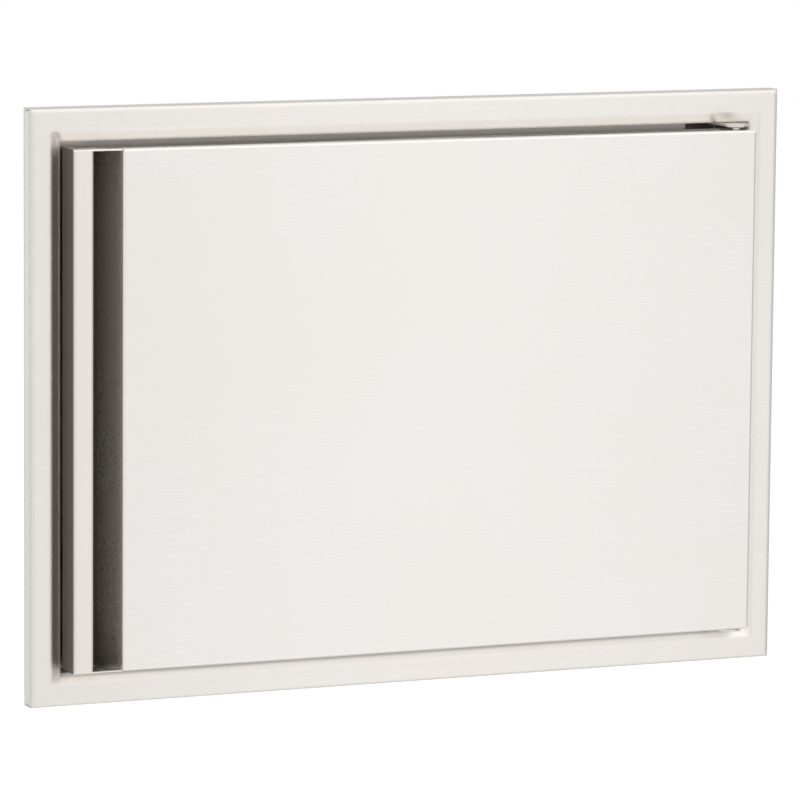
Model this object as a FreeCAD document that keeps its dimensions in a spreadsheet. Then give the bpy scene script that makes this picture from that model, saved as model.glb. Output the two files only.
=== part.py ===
import FreeCAD, Part
import os

import Sketcher

# A stainless access door for an outdoor kitchen wall: a trim ring with a liner through the wall,
# a proud door with a recessed full-height finger channel, two pin hinges and magnetic catches.
# X runs to the right seen from the front, Y runs back into the wall and Z runs up.
# The origin is the centre of the cut-out, in the wall's front plane.

DOC = FreeCAD.newDocument("AccessDoor")
NODES = []

# Driving dimensions, in millimetres and degrees.
SIZES = {
    "frame_width": 572,
    "frame_height": 418,
    "trim_depth": 14,
    "trim_sheet": 1.2,
    "trim_bend": 2.5,
    "side_border": 22.7,
    "end_border": 23.3,
    "bevel_width": 7.4,
    "bevel_depth": 2.5,
    "seat_hem": 9,
    "corner_slit": 0.5,
    "jamb_sheet": 1.2,
    "jamb_depth": 48,
    "jamb_lap": 5,
    "jamb_lip": 13,
    "bend_radius": 1.2,
    "mount_hole": 5.2,
    "mount_depth": 32,
    "mount_spacing": 240,
    "stop_sheet": 1.2,
    "stop_gap": 5,
    "stop_leg": 13,
    "end_stop_reach": 16,
    "latch_stop_reach": 19.3,
    "hinge_stop_reach": 9.3,
    "stop_notch": 30,
    "door_proud": 18,
    "door_depth": 28,
    "door_return": 20,
    "door_sheet": 1.2,
    "door_bend": 2,
    "side_gap": 2.8,
    "top_gap": 4.1,
    "bottom_gap": 2.2,
    "strip_width": 14.5,
    "strip_lip": 7,
    "channel_width": 22,
    "wall_angle": 32,
    "wall_lap": 14,
    "cap_gap": 1,
    "cap_edge": 1,
    "liner_depth": 11,
    "liner_clearance": 0.3,
    "liner_inset": 5,
    "stiffener_width": 28,
    "stiffener_foot": 16,
    "stiffener_height": 320,
    "hinge_inset": 12,
    "hinge_setback": 11,
    "hinge_plate": 1.5,
    "hinge_bend": 1.5,
    "arm_width": 20,
    "arm_nose": 8,
    "arm_corner": 8,
    "arm_clearance_top": 0.3,
    "arm_clearance_bottom": 0.2,
    "joggle_start": 3,
    "joggle_end": 7,
    "bracket_rear": 34,
    "pin_diameter": 6,
    "running_clearance": 0.05,
    "guide_clearance": 0.15,
    "pin_chamfer": 0.8,
    "bush_diameter": 9,
    "bush_flange": 12,
    "top_bush_flange": 1,
    "bottom_bush_gap": 0.1,
    "rivet_diameter": 4,
    "rivet_head": 7,
    "rivet_height": 1.3,
    "rivet_first": 14,
    "rivet_spacing": 13,
    "housing_sheet": 2,
    "housing_height": 54,
    "housing_width": 20,
    "housing_setback": 1,
    "housing_depth": 14.5,
    "pin_stand": 0.6,
    "pin_travel": 7,
    "pin_tail": 5,
    "clip_diameter": 10,
    "clip_thickness": 0.8,
    "spring_length": 17,
    "spring_wire": 0.9,
    "lever_diameter": 4,
    "lever_rest_gap": 0.3,
    "lever_front": 5,
    "knob_diameter": 7,
    "knob_length": 5.5,
    "lever_reach": 24,
    "slot_clearance": 0.3,
    "lower_plate": 3,
    "lower_pin_height": 10,
    "catch_inset": 8.5,
    "catch_height": 110,
    "catch_width": 11,
    "catch_depth": 14,
    "catch_length": 44,
    "catch_wall": 2,
    "magnet_width": 4,
    "magnet_length": 26,
    "magnet_depth": 9,
    "pole_sheet": 1.2,
    "pole_clearance": 0.5,
    "strike_sheet": 1.5,
    "strike_width": 12,
    "strike_length": 54,
    "strike_gap": 0.3,
    "strike_corner": 2,
    "bumper_diameter": 8,
    "bumper_height": 158,
    "bumper_gap": 0.3,
    "bumper_taper": 1,
}

# Places worked out from them.
PLACES = {
    "open_half_width": "=Sizes.frame_width / 2 - Sizes.side_border",
    "open_half_height": "=Sizes.frame_height / 2 - Sizes.end_border",
    "jamb_inner_x": "=open_half_width + Sizes.trim_sheet",
    "jamb_inner_z": "=open_half_height + Sizes.trim_sheet",
    "jamb_outer_x": "=jamb_inner_x + Sizes.jamb_sheet",
    "jamb_outer_z": "=jamb_inner_z + Sizes.jamb_sheet",
    "face_plane": "=-Sizes.trim_depth",
    "door_front": "=face_plane - Sizes.door_proud",
    "door_rear": "=door_front + Sizes.door_depth",
    "skin_inside": "=door_front + Sizes.door_sheet",
    "return_rear": "=door_front + Sizes.door_return",
    "web_rear": "=door_rear - Sizes.door_sheet",
    "stop_plane": "=door_rear + Sizes.stop_gap",
    "door_right": "=open_half_width - Sizes.side_gap",
    "door_left": "=-door_right",
    "door_top": "=open_half_height - Sizes.top_gap",
    "door_bottom": "=Sizes.bottom_gap - open_half_height",
    "inner_right": "=door_right - Sizes.door_sheet",
    "inner_top": "=door_top - Sizes.door_sheet",
    "inner_bottom": "=door_bottom + Sizes.door_sheet",
    "strip_right": "=door_left + Sizes.strip_width",
    "panel_left": "=strip_right + Sizes.channel_width",
    "liner_left": "=panel_left - Sizes.liner_inset",
    "liner_right": "=inner_right - Sizes.liner_clearance",
    "liner_top": "=inner_top - Sizes.liner_clearance",
    "liner_bottom": "=inner_bottom + Sizes.liner_clearance",
    "liner_front": "=door_rear - Sizes.liner_depth",
    "liner_edge": "=door_left + Sizes.door_sheet",
    "pivot_x": "=door_right - Sizes.hinge_inset",
    "pivot_y": "=door_front + Sizes.hinge_setback",
    "notch_x": "=pivot_x - Sizes.stop_notch",
    "arm_top": "=open_half_height - Sizes.arm_clearance_top",
    "arm_bottom": "=Sizes.arm_clearance_bottom - open_half_height",
    "arm_front": "=pivot_y - Sizes.arm_nose",
    "top_arm_underside": "=arm_top - Sizes.hinge_plate",
    "bottom_arm_upside": "=arm_bottom + Sizes.hinge_plate",
    "pin_radius": "=Sizes.pin_diameter / 2",
    "bush_radius": "=Sizes.bush_diameter / 2",
    "bush_bore": "=pin_radius + Sizes.running_clearance",
    "guide_radius": "=pin_radius + Sizes.guide_clearance",
    "housing_front": "=skin_inside + Sizes.housing_setback",
    "housing_rear": "=housing_front + Sizes.housing_depth",
    "housing_left": "=pivot_x - Sizes.housing_width / 2",
    "housing_right": "=pivot_x + Sizes.housing_width / 2",
    "leg_bottom": "=inner_top - Sizes.housing_height",
    "leg_top": "=leg_bottom + Sizes.housing_sheet",
    "lever_radius": "=Sizes.lever_diameter / 2",
    "lever_z": "=leg_bottom - Sizes.lever_rest_gap - lever_radius",
    "pin_high": "=arm_top + Sizes.pin_stand",
    "pin_low": "=lever_z - Sizes.pin_tail",
    "clip_low": "=leg_top + Sizes.spring_length",
    "clip_high": "=clip_low + Sizes.clip_thickness",
    "catch_x": "=door_left + Sizes.catch_inset",
    "flange_rear": "=stop_plane + Sizes.stop_sheet",
    "catch_rear": "=flange_rear + Sizes.catch_depth",
    "strike_front": "=door_rear + Sizes.strike_sheet",
    "pole_front": "=strike_front + Sizes.strike_gap",
    "magnet_front": "=flange_rear + Sizes.catch_wall",
    "magnet_rear": "=magnet_front + Sizes.magnet_depth",
    "pole_outer": "=Sizes.magnet_width / 2 + Sizes.pole_sheet",
}


def vector(x, y, z=0.0):
    return FreeCAD.Vector(x, y, z)


def table(name, rows):
    """A sheet with one named cell a row."""
    sheet = DOC.addObject("Spreadsheet::Sheet", name)
    for row, (alias, content) in enumerate(rows.items(), 1):
        sheet.set("A%d" % row, alias)
        sheet.setAlias("B%d" % row, alias)
        sheet.set("B%d" % row, str(content))
    DOC.recompute()
    return sheet


SIZE_SHEET = table("Sizes", SIZES)
PLACE_SHEET = table("Places", PLACES)


def size(name):
    return float(SIZE_SHEET.get(name))


def place(name):
    return float(PLACE_SHEET.get(name))


def value(expression):
    """The number that an expression over the two sheets gives."""
    return float(PLACE_SHEET.evalExpression(expression))


def new_body(label, x=None, y=None, z=None):
    """A body, moved to a place given by expressions."""
    body = DOC.addObject("PartDesign::Body", label)
    body.Label = label
    for axis, expression in (("x", x), ("y", y), ("z", z)):
        if expression:
            body.setExpression("Placement.Base.%s" % axis, expression)
    return body


def keep(thing):
    """Hand a finished sub-part in under its label."""
    NODES.append(thing)
    return thing


def new_sketch(body, role, low, high):
    """A sketch on an origin plane, set off so that its pad runs from low to high."""
    sketch = body.newObject("Sketcher::SketchObject", body.Label + "_sketch")
    plane = next(item for item in body.Origin.OriginFeatures if item.Role == role)
    sketch.AttachmentSupport = [(plane, "")]
    sketch.MapMode = "FlatFace"
    start = "-(%s)" % high if role == "XZ_Plane" else low
    sketch.setExpression("AttachmentOffset.Base.z", start)
    return sketch


def tie(sketch, index, axis, expression):
    """Tie a line's start point to the origin along one axis."""
    distance = value(expression)
    if abs(distance) < 1e-9:
        line = -2 if axis == "X" else -1
        sketch.addConstraint(Sketcher.Constraint("PointOnObject", index, 1, line))
        return
    number = sketch.addConstraint(
        Sketcher.Constraint("Distance" + axis, -1, 1, index, 1, distance))
    sketch.setExpression("Constraints[%d]" % number, expression)


def polygon(sketch, points):
    """A closed polygon whose corners are pairs of expressions."""
    first = sketch.GeometryCount
    corners = [vector(value(x), value(y)) for x, y in points]
    count = len(corners)
    for index, corner in enumerate(corners):
        line = Part.LineSegment(corner, corners[(index + 1) % count])
        sketch.addGeometry(line, False)
    for index in range(count):
        following = first + (index + 1) % count
        sketch.addConstraint(Sketcher.Constraint("Coincident", first + index, 2, following, 1))
    for index, (x, y) in enumerate(points):
        tie(sketch, first + index, "X", x)
        tie(sketch, first + index, "Y", y)


def rectangle(sketch, left, right, low, high):
    polygon(sketch, [(left, low), (right, low), (right, high), (left, high)])


def circle(sketch, x, y, radius):
    """A circle whose centre and radius are expressions."""
    centre = vector(value(x), value(y))
    index = sketch.addGeometry(Part.Circle(centre, vector(0, 0, 1), value(radius)), False)
    for axis, expression in (("X", x), ("Y", y)):
        distance = value(expression)
        if abs(distance) < 1e-9:
            line = -2 if axis == "X" else -1
            sketch.addConstraint(Sketcher.Constraint("PointOnObject", index, 3, line))
            continue
        number = sketch.addConstraint(
            Sketcher.Constraint("Distance" + axis, -1, 1, index, 3, distance))
        sketch.setExpression("Constraints[%d]" % number, expression)
    number = sketch.addConstraint(Sketcher.Constraint("Radius", index, value(radius)))
    sketch.setExpression("Constraints[%d]" % number, radius)


def pad(body, sketch, low, high):
    feature = body.newObject("PartDesign::Pad", body.Label + "_pad")
    feature.Profile = sketch
    feature.setExpression("Length", "(%s) - (%s)" % (high, low))
    DOC.recompute()
    return feature


def cut(body, sketch, low, high):
    """Cut from low to high, and make sure that it took something away."""
    before = body.Shape.Volume
    feature = body.newObject("PartDesign::Pocket", body.Label + "_pocket")
    feature.Profile = sketch
    feature.setExpression("Length", "(%s) - (%s)" % (high, low))
    feature.Reversed = True
    DOC.recompute()
    if not body.Shape.Volume < before - 1e-6:
        raise RuntimeError("%s: a cut took nothing away" % body.Label)
    return feature


def pad_rectangle(body, role, box, low, high):
    sketch = new_sketch(body, role, low, high)
    rectangle(sketch, *box)
    return pad(body, sketch, low, high)


def cut_rectangle(body, role, box, low, high):
    sketch = new_sketch(body, role, low, high)
    rectangle(sketch, *box)
    return cut(body, sketch, low, high)


def cut_circles(body, role, circles, low, high):
    sketch = new_sketch(body, role, low, high)
    for x, y, radius in circles:
        circle(sketch, x, y, radius)
    return cut(body, sketch, low, high)


def revolve(body, role, points):
    """Turn a profile of (radius, height) expressions about the sketch's vertical axis."""
    sketch = new_sketch(body, role, "0", "0")
    polygon(sketch, points)
    feature = body.newObject("PartDesign::Revolution", body.Label + "_turned")
    feature.Profile = sketch
    feature.ReferenceAxis = (sketch, ["V_Axis"])
    feature.Angle = 360
    DOC.recompute()
    return feature


def round_edges(body, wanted, radius):
    """Fillet the edges whose middle point passes the test."""
    base = body.Tip
    names = []
    for index, edge in enumerate(base.Shape.Edges, 1):
        middle = edge.valueAt((edge.FirstParameter + edge.LastParameter) / 2)
        if wanted(middle, edge):
            names.append("Edge%d" % index)
    if not names:
        raise RuntimeError("%s: no edge to round" % body.Label)
    feature = body.newObject("PartDesign::Fillet", body.Label + "_fillet")
    feature.Base = (base, names)
    feature.setExpression("Radius", radius)
    DOC.recompute()
    return feature


def bevel_edges(body, wanted, across, deep):
    """Bevel the edges whose middle point passes the test, further along one face than the other."""
    base = body.Tip
    names = []
    for index, edge in enumerate(base.Shape.Edges, 1):
        middle = edge.valueAt((edge.FirstParameter + edge.LastParameter) / 2)
        if wanted(middle, edge):
            names.append("Edge%d" % index)
    feature = body.newObject("PartDesign::Chamfer", body.Label + "_bevel")
    feature.Base = (base, names)
    feature.ChamferType = "Two distances"
    feature.setExpression("Size", across)
    feature.setExpression("Size2", deep)
    DOC.recompute()
    return feature


def span(side, low, high):
    """A stretch between two levels, on the positive or the negative side."""
    return (low, high) if side > 0 else ("-(%s)" % high, "-(%s)" % low)


def signed(side, expression):
    return expression if side > 0 else "-(%s)" % expression


def in_sketch(role, point):
    """A point's place along the two axes of a sketch on that origin plane."""
    axes = {"XY_Plane": (point.x, point.y), "XZ_Plane": (point.x, point.z),
            "YZ_Plane": (point.y, point.z)}
    return vector(*axes[role])


def round_bends(body, role, corners, radius):
    """Fillet the padded edges that stand on the given sketch corners."""
    def stands_on_corner(middle, edge):
        ends = [in_sketch(role, vertex.Point) for vertex in edge.Vertexes]
        return any(all((end - corner).Length < 1e-3 for end in ends) for corner in corners)

    round_edges(body, stands_on_corner, radius)


def folded_sheet(body, role, path, low, high, sheet, bend, side):
    """Pad a folded sheet: one face follows the path, the metal lies to its left (1) or right (-1)."""
    near = [vector(value(x), value(y)) for x, y in path]
    runs = [(b - a).normalize() for a, b in zip(near, near[1:])]
    normals = [vector(-run.y, run.x) * side for run in runs]
    shifts = [normals[0]]
    shifts += [(a + b) * (1 / (1 + a.dot(b))) for a, b in zip(normals, normals[1:])]
    shifts.append(normals[-1])
    far = [("(%s) + (%.9f) * %s" % (x, shift.x, sheet), "(%s) + (%.9f) * %s" % (y, shift.y, sheet))
           for (x, y), shift in zip(path, shifts)]
    sketch = new_sketch(body, role, low, high)
    polygon(sketch, path + far[::-1])
    pad(body, sketch, low, high)
    inside = []
    outside = []
    for index in range(1, len(path) - 1):
        other = near[index] + shifts[index] * value(sheet)
        turns_into_metal = runs[index].dot(normals[index - 1]) > 0
        inside.append(other if turns_into_metal else near[index])
        outside.append(near[index] if turns_into_metal else other)
    round_bends(body, role, inside, bend)
    round_bends(body, role, outside, "%s + %s" % (bend, sheet))


def shell(body, is_open, sheet):
    """Hollow the body to a sheet, without the faces whose centre passes the test."""
    base = body.Tip
    solid_volume = base.Shape.Volume
    names = [
        "Face%d" % index
        for index, face in enumerate(base.Shape.Faces, 1)
        if is_open(face)
    ]
    feature = body.newObject("PartDesign::Thickness", body.Label + "_shell")
    feature.Base = (base, names)
    feature.Reversed = True
    feature.setExpression("Value", sheet)
    DOC.recompute()
    if not body.Shape.Volume < solid_volume:
        raise RuntimeError("%s: the shell grew outwards" % body.Label)
    return feature


def mirrored(thing, normal, base):
    """A mirrored copy; base is the mirror plane's place along its normal, an expression."""
    copy = DOC.addObject("Part::Mirroring", thing.Label + "_mirrored")
    copy.Source = thing
    copy.Normal = normal
    axis = "xyz"[max(range(3), key=lambda index: abs(normal[index]))]
    copy.setExpression("Base.%s" % axis, base)
    DOC.recompute()
    return copy


def group(label, things):
    """Separate solids that share one node."""
    compound = DOC.addObject("Part::Compound", label)
    compound.Label = label
    compound.Links = things
    DOC.recompute()
    return keep(compound)


def lies_at(number, target):
    return abs(number - target) < 1e-4


def trim_frame():
    """The ring: folded outer return, bevelled opening edge, one sheet thick all over."""
    body = new_body("trim_frame")
    half_width = size("frame_width") / 2
    half_height = size("frame_height") / 2
    face = place("face_plane")
    outer = ("-Sizes.frame_width / 2", "Sizes.frame_width / 2",
             "-Sizes.frame_height / 2", "Sizes.frame_height / 2")
    opening = ("-Places.open_half_width", "Places.open_half_width",
               "-Places.open_half_height", "Places.open_half_height")
    pad_rectangle(body, "XZ_Plane", outer, "Places.face_plane", "0")
    cut_rectangle(body, "XZ_Plane", opening, "Places.face_plane", "0")

    def outer_front(middle, edge):
        outside = lies_at(abs(middle.x), half_width) or lies_at(abs(middle.z), half_height)
        return outside and lies_at(middle.y, face)

    def opening_front(middle, edge):
        inside = (abs(middle.x) < half_width - size("trim_bend") - 1
                  and abs(middle.z) < half_height - size("trim_bend") - 1)
        return inside and lies_at(middle.y, face)

    round_edges(body, outer_front, "Sizes.trim_bend")
    bevel_edges(body, opening_front, "Sizes.bevel_width", "Sizes.bevel_depth")
    shell(body, lambda item: lies_at(item.CenterOfMass.y, 0), "Sizes.trim_sheet")
    hem = new_sketch(body, "XZ_Plane", "-Sizes.trim_sheet", "0")
    rectangle(hem, *outer)
    rectangle(hem, "Sizes.seat_hem - Sizes.frame_width / 2",
              "Sizes.frame_width / 2 - Sizes.seat_hem",
              "Sizes.seat_hem - Sizes.frame_height / 2",
              "Sizes.frame_height / 2 - Sizes.seat_hem")
    pad(body, hem, "-Sizes.trim_sheet", "0")
    slits = new_sketch(body, "XZ_Plane", "Places.face_plane + Sizes.trim_bend", "0")
    for across in ("-", ""):
        for up in ("-", ""):
            rectangle(slits,
                      "%sSizes.frame_width / 2" % across,
                      "%s(Sizes.frame_width / 2 - Sizes.trim_sheet)" % across,
                      "%s(Sizes.frame_height / 2 - Sizes.trim_sheet - Sizes.corner_slit)" % up,
                      "%s(Sizes.frame_height / 2 - Sizes.trim_sheet)" % up)
    cut(body, slits, "Places.face_plane + Sizes.trim_bend", "0")
    keep(body)


def rivet_places():
    return ("Sizes.rivet_first", "Sizes.rivet_first + Sizes.rivet_spacing")


def end_jamb(label, up):
    """The liner's top (up = 1) or bottom (-1): a plate along the cut-out with a rear lip."""
    body = new_body(label)
    reach = "Places.jamb_outer_x"
    rear = "Sizes.jamb_depth - Sizes.jamb_sheet"
    path = [("-Sizes.jamb_lap", signed(up, "Places.jamb_inner_z")),
            (rear, signed(up, "Places.jamb_inner_z")),
            (rear, signed(up, "Places.jamb_inner_z - Sizes.jamb_lip"))]
    folded_sheet(body, "YZ_Plane", path, "-" + reach, reach,
                 "Sizes.jamb_sheet", "Sizes.bend_radius", up)
    holes = [("Places.pivot_x", y, "Sizes.rivet_diameter / 2") for y in rivet_places()]
    cut_circles(body, "XY_Plane", holes,
                *span(up, "Places.jamb_inner_z", "Places.jamb_outer_z"))
    keep(body)


def side_jamb(label, across):
    """The liner's right (across = 1) or left (-1) side, with its two mounting holes."""
    body = new_body(label)
    reach = "Places.jamb_inner_z"
    rear = "Sizes.jamb_depth - Sizes.jamb_sheet"
    path = [(signed(across, "Places.jamb_inner_x"), "-Sizes.jamb_lap"),
            (signed(across, "Places.jamb_inner_x"), rear),
            (signed(across, "Places.jamb_inner_x - Sizes.jamb_lip"), rear)]
    folded_sheet(body, "XY_Plane", path, "-" + reach, reach,
                 "Sizes.jamb_sheet", "Sizes.bend_radius", -across)
    lip_end = "Places.jamb_inner_z - Sizes.jamb_lip"
    relief = (*span(across, "Places.jamb_inner_x - Sizes.jamb_lip", "Places.jamb_outer_x"),
              "Sizes.jamb_depth - Sizes.jamb_sheet - Sizes.bend_radius", "Sizes.jamb_depth")
    for end in (1, -1):
        cut_rectangle(body, "XY_Plane", relief, *span(end, lip_end, reach))
    holes = [("Sizes.mount_depth", z, "Sizes.mount_hole / 2")
             for z in ("-Sizes.mount_spacing / 2", "Sizes.mount_spacing / 2")]
    cut_circles(body, "YZ_Plane", holes,
                *span(across, "Places.jamb_inner_x", "Places.jamb_outer_x"))
    keep(body)


def end_stop(label, up):
    """The door stop along the top or bottom, cut short at the hinge."""
    body = new_body(label)
    path = [("Places.stop_plane", signed(up, "Places.open_half_height - Sizes.end_stop_reach")),
            ("Places.stop_plane", signed(up, "Places.jamb_inner_z")),
            ("Places.stop_plane + Sizes.stop_leg", signed(up, "Places.jamb_inner_z"))]
    folded_sheet(body, "YZ_Plane", path, "-Places.jamb_inner_x", "Places.notch_x",
                 "Sizes.stop_sheet", "Sizes.bend_radius", -up)
    keep(body)


def side_stop(label, across, reach):
    """The door stop along one side; the latch side has windows for the catches' poles."""
    body = new_body(label)
    high = "Places.open_half_height - Sizes.end_stop_reach"
    path = [(signed(across, "Places.open_half_width - " + reach), "Places.stop_plane"),
            (signed(across, "Places.jamb_inner_x"), "Places.stop_plane"),
            (signed(across, "Places.jamb_inner_x"), "Places.stop_plane + Sizes.stop_leg")]
    folded_sheet(body, "XY_Plane", path, "-(%s)" % high, high,
                 "Sizes.stop_sheet", "Sizes.bend_radius", across)
    if across < 0:
        windows = new_sketch(body, "XZ_Plane", "Places.stop_plane", "Places.flange_rear")
        half_width = "(Places.pole_outer + Sizes.pole_clearance)"
        half_length = "(Sizes.magnet_length / 2 + Sizes.pole_clearance)"
        for end in (1, -1):
            rectangle(windows,
                      "Places.catch_x - " + half_width,
                      "Places.catch_x + " + half_width,
                      signed(end, "Sizes.catch_height - " + half_length),
                      signed(end, "Sizes.catch_height + " + half_length))
        cut(body, windows, "Places.stop_plane", "Places.flange_rear")
    keep(body)


def hinge_bracket(label, up):
    """A joggled plate: its pad lies on the jamb, its arm reaches forward over the door's edge."""
    body = new_body(label)
    low = "Places.pivot_x - Sizes.arm_width / 2"
    high = "Places.pivot_x + Sizes.arm_width / 2"
    pad_face = signed(up, "Places.jamb_inner_z")
    arm_face = "Places.arm_top" if up > 0 else "Places.arm_bottom"
    path = [("Sizes.bracket_rear", pad_face),
            ("Sizes.joggle_end", pad_face),
            ("Sizes.joggle_start", arm_face),
            ("Places.arm_front", arm_face)]
    folded_sheet(body, "YZ_Plane", path, low, high,
                 "Sizes.hinge_plate", "Sizes.hinge_bend", up)
    round_edges(body,
                lambda middle, edge: lies_at(middle.y, place("arm_front"))
                and lies_at(abs(middle.x - place("pivot_x")), size("arm_width") / 2),
                "Sizes.arm_corner")
    pivot_hole = "Places.bush_radius" if up > 0 else "Places.pin_radius"
    holes = [("Places.pivot_x", "Places.pivot_y", pivot_hole)]
    holes += [("Places.pivot_x", y, "Sizes.rivet_diameter / 2") for y in rivet_places()]
    cut_circles(body, "XY_Plane", holes,
                *span(up, "Places.top_arm_underside", "Places.jamb_inner_z"))
    keep(body)


def hinge_rivets():
    """Two rivets through each bracket and its jamb, flush on the jamb's outside."""
    one = new_body("hinge_rivet", "Places.pivot_x", "Sizes.rivet_first")
    radius = "Sizes.rivet_diameter / 2"
    head = "Sizes.rivet_head / 2"
    seat = "Places.jamb_inner_z - Sizes.hinge_plate"
    revolve(one, "XZ_Plane", [
        ("0", seat + " - Sizes.rivet_height"),
        (head + " - Sizes.rivet_height / 2", seat + " - Sizes.rivet_height"),
        (head, seat),
        (radius, seat),
        (radius, "Places.jamb_outer_z"),
        ("0", "Places.jamb_outer_z")])
    rear = mirrored(one, vector(0, 1, 0), "Sizes.rivet_first + Sizes.rivet_spacing / 2")
    lower = [mirrored(item, vector(0, 0, 1), "0") for item in (one, rear)]
    group("hinge_rivets", [one, rear] + lower)


def hinge_bush_top():
    """The flanged nylon bush in the upper arm."""
    body = new_body("hinge_bush_top", "Places.pivot_x", "Places.pivot_y")
    flange = "Places.top_arm_underside - Sizes.top_bush_flange"
    revolve(body, "XZ_Plane", [
        ("Places.bush_bore", flange),
        ("Sizes.bush_flange / 2", flange),
        ("Sizes.bush_flange / 2", "Places.top_arm_underside"),
        ("Places.bush_radius", "Places.top_arm_underside"),
        ("Places.bush_radius", "Places.arm_top"),
        ("Places.bush_bore", "Places.arm_top")])
    keep(body)


def hinge_bush_bottom():
    """The flanged nylon bush in the door's bottom edge; its flange carries the door."""
    body = new_body("hinge_bush_bottom", "Places.pivot_x", "Places.pivot_y")
    flange = "Places.bottom_arm_upside + Sizes.bottom_bush_gap"
    top = "Places.inner_bottom + Sizes.lower_plate"
    revolve(body, "XZ_Plane", [
        ("Places.bush_bore", flange),
        ("Sizes.bush_flange / 2", flange),
        ("Sizes.bush_flange / 2", "Places.door_bottom"),
        ("Places.bush_radius", "Places.door_bottom"),
        ("Places.bush_radius", top),
        ("Places.bush_bore", top)])
    keep(body)


def hinge_pin_bottom():
    """The fixed lower pin, set in the lower arm."""
    body = new_body("hinge_pin_bottom", "Places.pivot_x", "Places.pivot_y")
    top = "Places.bottom_arm_upside + Sizes.lower_pin_height"
    revolve(body, "XZ_Plane", [
        ("0", "Places.arm_bottom"),
        ("Places.pin_radius", "Places.arm_bottom"),
        ("Places.pin_radius", top + " - Sizes.pin_chamfer"),
        ("Places.pin_radius - Sizes.pin_chamfer", top),
        ("0", top)])
    keep(body)


def hinge_pin_top():
    """The sprung upper pin, with the cross hole for its lever."""
    body = new_body("hinge_pin_top", "Places.pivot_x", "Places.pivot_y")
    revolve(body, "XZ_Plane", [
        ("0", "Places.pin_low"),
        ("Places.pin_radius - Sizes.pin_chamfer", "Places.pin_low"),
        ("Places.pin_radius", "Places.pin_low + Sizes.pin_chamfer"),
        ("Places.pin_radius", "Places.pin_high - Sizes.pin_chamfer"),
        ("Places.pin_radius - Sizes.pin_chamfer", "Places.pin_high"),
        ("0", "Places.pin_high")])
    cut_circles(body, "XZ_Plane", [("0", "Places.lever_z", "Places.lever_radius")],
                "-Sizes.pin_diameter", "Sizes.pin_diameter")
    keep(body)


def pin_lever():
    """The cross rod through the pin's tail; its knob stands out of the door's back."""
    body = new_body("pin_lever", "Places.pivot_x", "Places.pivot_y", "Places.lever_z")
    knob_start = "Sizes.lever_reach - Sizes.knob_length"
    revolve(body, "XY_Plane", [
        ("0", "-Sizes.lever_front"),
        ("Places.lever_radius", "-Sizes.lever_front"),
        ("Places.lever_radius", knob_start),
        ("Sizes.knob_diameter / 2", knob_start),
        ("Sizes.knob_diameter / 2", "Sizes.lever_reach - Sizes.pin_chamfer"),
        ("Sizes.knob_diameter / 2 - Sizes.pin_chamfer", "Sizes.lever_reach"),
        ("0", "Sizes.lever_reach")])
    keep(body)


def pin_clip():
    """The retaining ring on the upper pin, on which the spring pushes."""
    body = new_body("pin_clip", "Places.pivot_x", "Places.pivot_y")
    revolve(body, "XZ_Plane", [
        ("Places.pin_radius", "Places.clip_low"),
        ("Sizes.clip_diameter / 2", "Places.clip_low"),
        ("Sizes.clip_diameter / 2", "Places.clip_high"),
        ("Places.pin_radius", "Places.clip_high")])
    keep(body)


def pin_spring():
    """The compression spring between the housing's lower leg and the ring, as a plain sleeve."""
    body = new_body("pin_spring", "Places.pivot_x", "Places.pivot_y")
    outer = "Sizes.clip_diameter / 2 - Sizes.spring_wire / 2"
    inner = "Sizes.clip_diameter / 2 - Sizes.spring_wire * 3 / 2"
    revolve(body, "XZ_Plane", [
        (inner, "Places.leg_top"),
        (outer, "Places.leg_top"),
        (outer, "Places.clip_low"),
        (inner, "Places.clip_low")])
    keep(body)


def pin_housing():
    """The C-shaped bracket inside the door's top corner, which guides the upper pin."""
    body = new_body("pin_housing")
    path = [("Places.housing_right", "Places.inner_top"),
            ("Places.housing_left", "Places.inner_top"),
            ("Places.housing_left", "Places.leg_bottom"),
            ("Places.housing_right", "Places.leg_bottom")]
    folded_sheet(body, "XZ_Plane", path, "Places.housing_front", "Places.housing_rear",
                 "Sizes.housing_sheet", "Sizes.bend_radius", 1)
    guides = [("Places.pivot_x", "Places.pivot_y", "Places.guide_radius")]
    cut_circles(body, "XY_Plane", guides, "Places.leg_bottom", "Places.inner_top")
    keep(body)


def hinge_plate_bottom():
    """The plate that stiffens the door's lower hinge corner."""
    body = new_body("hinge_plate_bottom")
    top = "Places.inner_bottom + Sizes.lower_plate"
    box = ("Places.housing_left", "Places.housing_right",
           "Places.housing_front", "Places.housing_rear")
    pad_rectangle(body, "XY_Plane", box, "Places.inner_bottom", top)
    hole = [("Places.pivot_x", "Places.pivot_y", "Places.bush_radius")]
    cut_circles(body, "XY_Plane", hole, "Places.inner_bottom", top)
    keep(body)


def wall_x(y, offset="0"):
    """Where the slanted channel wall stands at a depth, set off square to itself."""
    angle = "(Sizes.wall_angle * 1 deg)"
    return ("Places.panel_left - ((%s) - Places.door_front) * tan%s + (%s) / cos%s"
            % (y, angle, offset, angle))


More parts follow.
